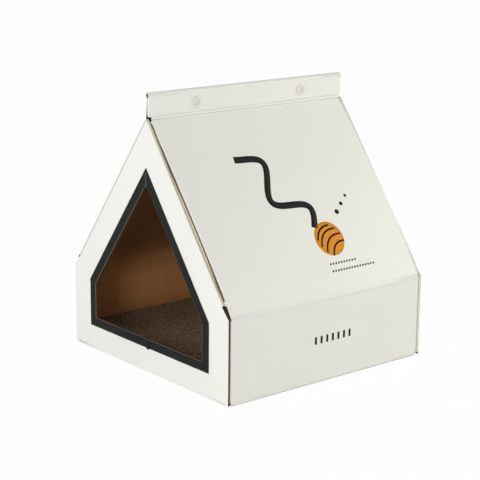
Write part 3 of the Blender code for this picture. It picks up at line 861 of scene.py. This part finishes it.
# pressed lines above the fold of each fin panel, drawn as strips of painted shade, the upper one
# with a low bead

scoreSet = {"half": 0.1868, "proud": 0.00012, "thick": 0.0002, "dark": (0.50, 0.49, 0.44),
            "light": (0.60, 0.59, 0.53), "lines": ((0.3952, 0.0013), (0.3904, 0.0008)),
            "beadHeight": 0.3957, "beadHalf": 0.0011, "beadRise": 0.00022, "beadSunk": 0.00002,
            "beadSteps": 8}


def makeFinScores(coat):
    scoreShade = plainPaper("paintedScoreShade", scoreSet["dark"], scoreSet["light"])
    for side, hand in sides:
        for number, (height, width) in enumerate(scoreSet["lines"]):
            bm = blockMesh((hand * (finHalf + scoreSet["proud"]), 0, height),
                           (scoreSet["thick"], scoreSet["half"] * 2, width))
            finishPiece(f"{side}_fin_line_{number}", bm, scoreShade, f"{side}_ridge")
    for side, hand in sides:
        line = []
        for step in range(scoreSet["beadSteps"] + 1):
            run = 2 * step / scoreSet["beadSteps"] - 1
            out = finHalf + scoreSet["beadRise"] * cos(run * pi / 2) - scoreSet["beadSunk"]
            line.append((hand * out, -scoreSet["half"],
                         scoreSet["beadHeight"] + run * scoreSet["beadHalf"]))
        bm = lineMesh(line)
        drawOut(bm, bm.edges[:], (0, scoreSet["half"] * 2, 0))
        turnFaces(bm, Vector((hand, 0, 0)))
        bead = finishPiece(f"{side}_fin_score", bm, coat, f"{side}_ridge")
        bead.data.shade_smooth()
        thicken(bead, boardSet["skin"], 1)


# painted shade where the roof's end folds meet the gable: at the front a dark line with a beige
# strip below it, at the rear pale paper

foldStripSet = {
    "foot": 0.0212, "head": 0.004, "count": 40, "rows": 4, "skew": 0.35, "narrowest": 0.0001,
    "below": -0.0030, "darkLow": (-0.0050, 0.0062), "darkHigh": (-0.00067, 0.00427),
    "dark": (0.168, 0.116, 0.084), "darkest": (0.096, 0.062, 0.043), "lift": 0.00016,
    "paper": 0.00005, "patch": (0.020, 0.0003, 0.0042), "patchDown": 0.0005,
    "patchIn": 0.0004, "patchOut": 0.0002,
}


def foldBand(limits, hand, way):
    # a band up the end of the roof, between two (base, growth) limits that follow the bow
    bm = bmesh.new()
    bmesh.ops.create_grid(bm, x_segments=foldStripSet["count"], y_segments=foldStripSet["rows"], size=0.5)
    first, last = foldStripSet["foot"] / slopeLength, 1 - foldStripSet["head"] / slopeLength
    spare = []
    for vert in bm.verts:
        share = first + (last - first) * (vert.co.x + 0.5)
        crown = 4 * share * (1 - share) * (1 + foldStripSet["skew"] * (1 - 2 * share))
        low, high = (base + growth * crown for base, growth in limits)
        low = max(low, foldStripSet["below"])
        if high - low < foldStripSet["narrowest"]:
            spare.append(vert)
        out = low + (high - low) * (vert.co.y + 0.5)
        spot = eave + roofUp * slopeLength * share + roofOut * out
        vert.co = (hand * spot.x, way * halfDepth, spot.z)
    bmesh.ops.delete(bm, geom=spare, context="VERTS")
    return bm


def makeFoldStrips(papers):
    # worn holds the painted shade of the dark line in the front folds
    worn = plainPaper("paintedFoldShade", foldStripSet["darkest"], foldStripSet["dark"])
    under = (foldStripSet["below"], 0.0)
    bands = {
        "front": (("line", worn, (foldStripSet["darkLow"], foldStripSet["darkHigh"])),
                  ("strip", papers["khaki"], (under, foldStripSet["darkLow"]))),
        "rear": (("strip", papers["clean"], (under, foldStripSet["darkHigh"])),),
    }
    for side, hand in sides:
        for label, way in ends:
            for part, mat, limits in bands[label]:
                bm = foldBand(limits, hand, way)
                out = Vector((0, way, 0))
                layOn(bm, nodes[f"{side}_roof"], out, foldStripSet["lift"])
                turnFaces(bm, out)
                piece = finishPiece(f"{side}_{label}_fold_{part}", bm, mat, f"{side}_slope")
                piece.data.shade_smooth()
                thicken(piece, foldStripSet["paper"], 1)

        # the rear fold stays closed up to the ridge
        length, _, depth = foldStripSet["patch"]
        spot = (valley - roofUp * (length / 2 + foldStripSet["patchDown"])
                - roofOut * (depth / 2 + foldStripSet["patchIn"])
                + Vector((0, halfDepth + foldStripSet["patchOut"], 0)))
        turn = Matrix((roofUp, Vector((0, 1, 0)), roofOut)).transposed().to_4x4()
        bm = blockMesh(spot, foldStripSet["patch"], turn)
        mirrorTo(bm, hand)
        finishPiece(f"{side}_rear_fold_head", bm, papers["clean"], f"{side}_slope")


# doorway edging

tapeSet = {
    "colour": (0.0090, 0.0102, 0.0096), "worn": (0.0150, 0.0165, 0.0160), "round": 0.00028,
    "weave": 370.0, "line": 0.0010, "skin": 0.00014, "ribbon": 0.8, "inset": 0.00015,
    "backShort": 0.0001,
    "lineDark": (0.30, 0.25, 0.20), "lineLight": (0.46, 0.40, 0.34),
    "innerDark": (0.060, 0.034, 0.019), "innerLight": (0.105, 0.062, 0.036),
    "gusset": 0.0050, "gussetIn": 0.0002, "gussetShort": 0.0006,
    "lap": (-0.0006, 0.0058), "lapFoot": 0.0386, "lapThick": 0.0006, "lapOut": 0.0002,
    "pleatHalf": 0.0012, "pleatProud": 0.0006, "pleatTop": 0.0055, "pleatIn": 0.0001,
    "pleatFoot": 0.9, "pleatLean": 0.3,
    "pleatDark": (0.075, 0.083, 0.090), "pleatLight": (0.125, 0.136, 0.145),
}


def tapeMaterial():
    mat, tree, shader = shaderOf("blackTape", tapeSet["colour"], 0.62, Specular_IOR_Level=0.16)
    place = tree.nodes.new("ShaderNodeTexCoord")
    link = tree.links.new
    warp = addNode(tree, "TexWave", wave_type="BANDS", bands_direction="X", Scale=tapeSet["weave"])
    weft = addNode(tree, "TexWave", wave_type="BANDS", bands_direction="Z", Scale=tapeSet["weave"])
    for wave in (warp, weft):
        link(place.outputs["Object"], wave.inputs["Vector"])
    weave = addNode(tree, "Math", operation="MULTIPLY")
    link(warp.outputs["Fac"], weave.inputs[0])
    link(weft.outputs["Fac"], weave.inputs[1])
    grain = useGroup(tree, "paperGrain", Fine_scale=1200.0, Streak_scale=90.0, Mottle_scale=35.0)
    tintBetween(tree, shader, grain.outputs["Mottle"], tapeSet["colour"], tapeSet["worn"],
                0.35, 0.9)
    bumpFrom(tree, shader, [(grain.outputs["Mottle"], 0.0004), (weave.outputs[0], 0.00006)])
    return mat


def openingCorners():
    # the clear opening inside the edging, right half from its foot to its peak
    low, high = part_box("doorway_edging")
    border = 0.005
    return [(z, x) for z, x in cornersAt("doorway_edging", low.y)
            if low.z + border < z < high.z - border and x < high.x - border]


def softened(name, node, radius, mat, body):
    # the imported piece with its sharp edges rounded
    bm = bmesh.new()
    bm.from_mesh(nodes[node].data)
    bmesh.ops.remove_doubles(bm, verts=bm.verts, dist=smallest)
    bmesh.ops.dissolve_limit(bm, angle_limit=0.01, verts=bm.verts, edges=bm.edges)
    sharp = [edge for edge in bm.edges if edge.calc_face_angle(0) > roundedFrom]
    bmesh.ops.bevel(bm, geom=sharp, offset=radius, offset_type="OFFSET", segments=2,
                    profile=0.5, affect="EDGES", material=-1, clamp_overlap=True)
    piece = finishPiece(name, bm, mat, body, softAngle)
    weighted(piece)
    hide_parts(node)


def ribbon(name, line, start, stop, mat, inwards):
    # a band of tape's thickness, drawn along (x, z) points from one depth to another
    bm = lineMesh([(x, start, z) for x, z in line])
    drawOut(bm, bm.edges[:], (0, stop - start, 0))
    bmesh.ops.recalc_face_normals(bm, faces=bm.faces)
    bm.normal_update()
    if sum(face.normal.dot(inwards - face.calc_center_median()) for face in bm.faces) < 0:
        bmesh.ops.reverse_faces(bm, faces=bm.faces)
    piece = finishPiece(name, bm, mat, "front_gable")
    thicken(piece, tapeSet["skin"] * tapeSet["ribbon"], -1)


def makeEdging():
    tape = tapeMaterial()
    softened("doorway_tape", "doorway_edging", tapeSet["round"], tape, "front_gable")

    # inside of the opening: a pale selvage along the front, brown lining behind it
    low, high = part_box("doorway_edging")
    (sill, gap), (_, jamb), (shoulder, _), (peak, _) = openingCorners()
    slope = Vector((peak - shoulder, jamb))     # across the slope, out of the opening
    lift = tapeSet["skin"]
    floor, side, tip = sill + lift, jamb - lift, peak - lift * slope.length / slope.y
    bend = tip - side * slope.x / slope.y
    line = [(gap, floor), (side, floor), (side, bend), (0, tip), (-side, bend), (-side, floor),
            (-gap, floor)]
    middle = Vector((0, 0, (sill + peak) / 2))
    pale = plainPaper("tapeSelvage", tapeSet["lineDark"], tapeSet["lineLight"])
    brown = plainPaper("tapeLining", tapeSet["innerDark"], tapeSet["innerLight"])
    turn = low.y + tapeSet["line"]
    ribbon("tape_selvage", line, low.y + tapeSet["inset"], turn, pale, middle)
    ribbon("tape_lining", line, turn, high.y - tapeSet["backShort"], brown, middle)

    # the slack of the tape fills the peak and stands in one pleat
    reach = tapeSet["gusset"]
    half = reach * slope.y / slope.x
    depth = low.y + tapeSet["gussetIn"]
    corners = [(0, depth, peak), (-half, depth, peak - reach), (half, depth, peak - reach)]
    gusset = slabMesh(corners, (0, high.y - low.y - tapeSet["gussetShort"], 0))
    finishPiece("tape_gusset", gusset, tape, "front_gable", softAngle)

    # one end of the tape laps over the other on the sill
    (left, right), foot = tapeSet["lap"], tapeSet["lapFoot"]
    lap = blockMesh(((left + right) / 2, low.y - tapeSet["lapOut"], (foot + sill) / 2),
                    (right - left, tapeSet["lapThick"], sill - foot))
    finishPiece("tape_lap", lap, tape, "front_gable", softAngle)

    # the pleat is paler than the tape: a painted highlight along it
    pleatHighlight = plainPaper("tapePleatHighlight", tapeSet["pleatDark"], tapeSet["pleatLight"])
    half, back = tapeSet["pleatHalf"], low.y + tapeSet["pleatIn"]
    foot, head = peak - reach * tapeSet["pleatFoot"], high.z - tapeSet["pleatTop"]
    ridge = (-half * tapeSet["pleatLean"], back - tapeSet["pleatProud"], foot)
    section = [(-half, back, foot), ridge, (half, back, foot)]
    pleat = slabMesh(section, (0, 0, head - foot))
    finishPiece("tape_pleat", pleat, pleatHighlight, "front_gable", softAngle)


# scratcher pad: strips on edge, a waved medium between straight liners

padSet = {
    "pitch": 0.0040, "wavePitch": boardSet["flutePitch"], "paper": 0.00034, "deep": 0.0075,
    "steps": 6,
    "sheet": 0.0003, "sheetShort": 0.0002, "linerSunk": 0.0004, "waveSunk": 0.0003,
    "waveShort": 0.0005, "faceDark": (0.285, 0.180, 0.100), "faceLight": (0.385, 0.250, 0.145),
    "dark": (0.165, 0.104, 0.060), "light": (0.52, 0.345, 0.212),
}


def padMaterial():
    mat, tree, shader = shaderOf("padPaper", padSet["light"], 0.9, Specular_IOR_Level=0.12)
    grain = useGroup(tree, "paperGrain", Fine_scale=420.0, Streak_scale=160.0, Mottle_scale=380.0)
    tintBetween(tree, shader, grain.outputs["Mottle"], padSet["dark"], padSet["light"], 0.36, 0.64)
    bumpFrom(tree, shader, [(grain.outputs["Grain"], 0.0003)])
    return mat


def spreadCopies(piece, count, step):
    rows = piece.modifiers.new("rows", "ARRAY")
    rows.count = count
    rows.use_relative_offset = False
    rows.use_constant_offset = True
    rows.constant_offset_displace = step


def makePad():
    low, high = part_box("scratcher_pad")
    centre, size = (low + high) / 2, high - low
    count = int(size.y / padSet["pitch"])
    pitch = (size.y - padSet["paper"]) / count
    base = high.z - padSet["deep"]

    # solid block below the open strips, and a sheet glued on the front and the rear
    face = plainPaper("padFace", padSet["faceDark"], padSet["faceLight"])
    block = finishPiece("pad_block", blockMesh((centre.x, centre.y, (low.z + base) / 2),
                                               (size.x, size.y, base - low.z)),
                        face, "scratcher", softAngle)
    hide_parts("scratcher_pad")
    for label, depth in (("front", low.y), ("rear", high.y)):
        bm = blockMesh((centre.x, depth, centre.z),
                       (size.x, padSet["sheet"], size.z - padSet["sheetShort"]))
        finishPiece(f"pad_{label}_sheet", bm, face, "scratcher", softAngle)

    paper = padMaterial()
    foot = base - padSet["linerSunk"]
    bm = blockMesh((centre.x, low.y + padSet["paper"] / 2, (foot + high.z) / 2),
                   (size.x, padSet["paper"], high.z - foot))
    liners = finishPiece("pad_liners", bm, paper, "scratcher", softAngle)
    spreadCopies(liners, count + 1, (0, pitch, 0))

    length = size.x - padSet["waveShort"] * 2
    steps = int(length / padSet["wavePitch"] * padSet["steps"])
    swing = pitch / 2 - padSet["paper"]
    across = low.y + (pitch + padSet["paper"]) / 2
    line = []
    for step in range(steps + 1):
        run = length * step / steps
        line.append((low.x + padSet["waveShort"] + run,
                     across + swing * sin(tau * run / padSet["wavePitch"]), base))
    half = count // 2
    for name, rows, first in (("pad_waves_front", half, 0), ("pad_waves_rear", count - half, half)):
        bm = lineMesh([(x, y + first * pitch, z) for x, y, z in line])
        drawOut(bm, bm.edges[:], (0, 0, padSet["deep"] - padSet["waveSunk"]))
        piece = finishPiece(name, bm, paper, "scratcher")
        thicken(piece, padSet["paper"], 0)
        spreadCopies(piece, rows, (0, pitch, 0))


# snap rivets

rivetSet = {"round": 0.00018, "dark": (0.79, 0.785, 0.735), "light": (0.845, 0.84, 0.79)}


def rivetMaterial():
    mat, tree, shader = shaderOf("milkyPlastic", rivetSet["light"], 0.42, Specular_IOR_Level=0.3,
                                 Subsurface_Weight=0.1, Subsurface_Scale=0.001)
    grain = useGroup(tree, "paperGrain", Fine_scale=300.0, Streak_scale=80.0, Mottle_scale=120.0)
    tintBetween(tree, shader, grain.outputs["Mottle"], rivetSet["dark"], rivetSet["light"],
                0.3, 0.7)
    bumpFrom(tree, shader, [(grain.outputs["Mottle"], 0.0001)])
    return mat


def makeRivets():
    plastic = rivetMaterial()
    for kind in ("stud", "cap"):
        for end, _ in ends:
            softened(f"{kind}_{end}_moulding", f"rivet_{kind}_{end}", rivetSet["round"], plastic,
                     f"{kind}_{end}")


# prints on the right side: a ball of yarn with its loose end, two rows of marks and a row of bars
# each place is (along the house from its middle, up the panel)

printSet = {
    "lift": 0.00016, "paint": 0.00004,
    "black": (0.0065, 0.0070, 0.0068), "orange": (0.76, 0.28, 0.012),
    "ball": (0.040, 0.088), "radius": 0.028,
    "wraps": ((-0.62, 0.26), (-0.22, 0.34), (0.20, 0.34), (0.60, 0.24)),    # shift, bend in radii
    "wrapReach": 0.84, "wrapDown": 0.13, "wrapLean": 0.6, "wrapWide": 0.0032,
    "wrapLift": 0.0001, "wrapSteps": 12,
    "tailFrom": (-0.020, 0.021), "tailTo": (-0.062, 0.246), "tailWide": 0.0112,
    "tailSwing": 0.024, "tailWaves": 1.6, "tailSteps": 72,
    "dots": 3, "dotFrom": (0.036, 0.040), "dotStep": (0.015, 0.012),
    "dotRadius": 0.0042, "dotShrink": 0.0008,
    "markRows": (10, 16), "markFrom": (0.023, 0.048), "markStep": (0.0056, 0.0115),
    "markRadius": 0.0017,
    "bars": 7, "barFrom": -0.028, "barStep": 0.0115, "barWide": 0.0042, "barRun": (0.062, 0.0735),
}


def inkMaterial(name, colour):
    mat, tree, shader = shaderOf(name, colour, 0.6, Specular_IOR_Level=0.2)
    grain = useGroup(tree, "paperGrain", Fine_scale=1400.0, Streak_scale=260.0, Mottle_scale=60.0)
    edge = tuple(min(1.0, value * 1.12 + 0.004) for value in colour)
    tintBetween(tree, shader, grain.outputs["Grain"], colour, edge, 0.35, 0.75)
    bumpFrom(tree, shader, [(grain.outputs["Grain"], 0.00003)])
    return mat


def roofPlace(across, up):
    return eave + Vector((0, across, 0)) + roofUp * up


def wallPlace(across, up):
    return Vector((halfWidth, across, up))


panels = {
    # node, body, place of a print point, outwards
    "roof": ("right_roof", "right_slope", roofPlace, roofOut),
    "wall": ("right_wall", "right_side", wallPlace, Vector((1, 0, 0))),
}


def finishPrint(name, bm, panel, mat, lift=0.0):
    node, body, place, outward = panels[panel]
    for vert in bm.verts:
        vert.co = place(vert.co.x, vert.co.y)
    layOn(bm, nodes[node], outward, printSet["lift"] + lift)
    turnFaces(bm, outward)
    piece = finishPiece(name, bm, mat, body)
    piece.data.shade_smooth()
    thicken(piece, printSet["paint"], 1)


def strokeOn(name, points, width, panel, mat, lift=0.0):
    # a stroke of even width, extruded along its line
    bm = bmesh.new()
    line = None
    for index, point in enumerate(points):
        before, after = points[max(index - 1, 0)], points[min(index + 1, len(points) - 1)]
        lean = Vector((after[0] - before[0], after[1] - before[1], 0)).normalized()
        side = Vector((-lean.y, lean.x, 0)) * width / 2
        spot = Vector((*point, 0))
        if line is None:
            tips = [bm.verts.new(spot - side), bm.verts.new(spot + side)]
            line = [bm.edges.new(tips)]
            continue
        fresh, line = drawOut(bm, line, (0, 0, 0))
        fresh.sort(key=lambda vert: (vert.co - tips[0].co).length)
        fresh[0].co, fresh[1].co = spot - side, spot + side
        tips = fresh
    finishPrint(name, bm, panel, mat, lift)


def discOn(name, centre, radius, panel, mat):
    bm = bmesh.new()
    bmesh.ops.create_circle(bm, cap_ends=True, cap_tris=True, radius=radius, segments=48)
    bmesh.ops.subdivide_edges(bm, edges=bm.edges, cuts=2, use_grid_fill=True)
    bmesh.ops.translate(bm, verts=bm.verts, vec=(*centre, 0))
    finishPrint(name, bm, panel, mat)


def makePrints():
    black = inkMaterial("blackInk", printSet["black"])
    orange = inkMaterial("orangeInk", printSet["orange"])
    ball, radius = Vector(printSet["ball"]), printSet["radius"]
    discOn("yarn_ball", ball, radius, "roof", orange)
    turn = Matrix.Rotation(printSet["wrapLean"], 2)
    for number, (shift, bend) in enumerate(printSet["wraps"]):
        arc = []
        for step in range(printSet["wrapSteps"] + 1):
            run = 2 * step / printSet["wrapSteps"] - 1
            across = printSet["wrapReach"] * run * sqrt(1 - shift ** 2)
            up = shift + bend * (1 - run ** 2) - printSet["wrapDown"]
            arc.append(ball + turn @ Vector((across, up)) * radius)
        strokeOn(f"yarn_wrap_{number}", arc, printSet["wrapWide"], "roof", black,
                 printSet["wrapLift"])

    start, stop = ball + Vector(printSet["tailFrom"]), Vector(printSet["tailTo"])
    aside = Vector((stop.y - start.y, start.x - stop.x)).normalized()
    tail = []
    for step in range(printSet["tailSteps"] + 1):
        run = step / printSet["tailSteps"]
        swing = printSet["tailSwing"] * sin(run * printSet["tailWaves"] * tau)
        tail.append(start + (stop - start) * run + aside * swing)
    strokeOn("yarn_tail", tail, printSet["tailWide"], "roof", black)

    for number in range(printSet["dots"]):
        spot = ball + Vector(printSet["dotFrom"]) + Vector(printSet["dotStep"]) * number
        discOn(f"stray_dot_{number}", spot, printSet["dotRadius"] - number * printSet["dotShrink"],
               "roof", black)
    (across, up), (onward, downward) = printSet["markFrom"], printSet["markStep"]
    for row, count in enumerate(printSet["markRows"]):
        for number in range(count):
            spot = (across + number * onward, up - row * downward)
            discOn(f"fine_mark_{row}_{number}", spot, printSet["markRadius"], "roof", black)
    for number in range(printSet["bars"]):
        across = printSet["barFrom"] + number * printSet["barStep"]
        strokeOn(f"wall_bar_{number}", [(across, up) for up in printSet["barRun"]],
                 printSet["barWide"], "wall", black)


makeCamera()
makeStage()
print("camera, lamps and floor set")
coats, core = makeBoards()
print("coats and liners laid on", len(skins), "panels")
makeCreases(coats)
print("creases bridged:", len(creases))
papers = makePapers()
makeRawEdges(papers)
makeFeet()
makeRearLaps(papers["clean"])
print("raw edges fluted")
makeSlopes(core)
makeFinEnds(coats["Level"], papers["white"], core)
makeFinScores(coats["Level"])
makeFoldStrips(papers)
print("fin ends and painted fold shade done")
makeEdging()
makePad()
makeRivets()
print("tape, pad and rivets done")
makePrints()
print("prints laid")
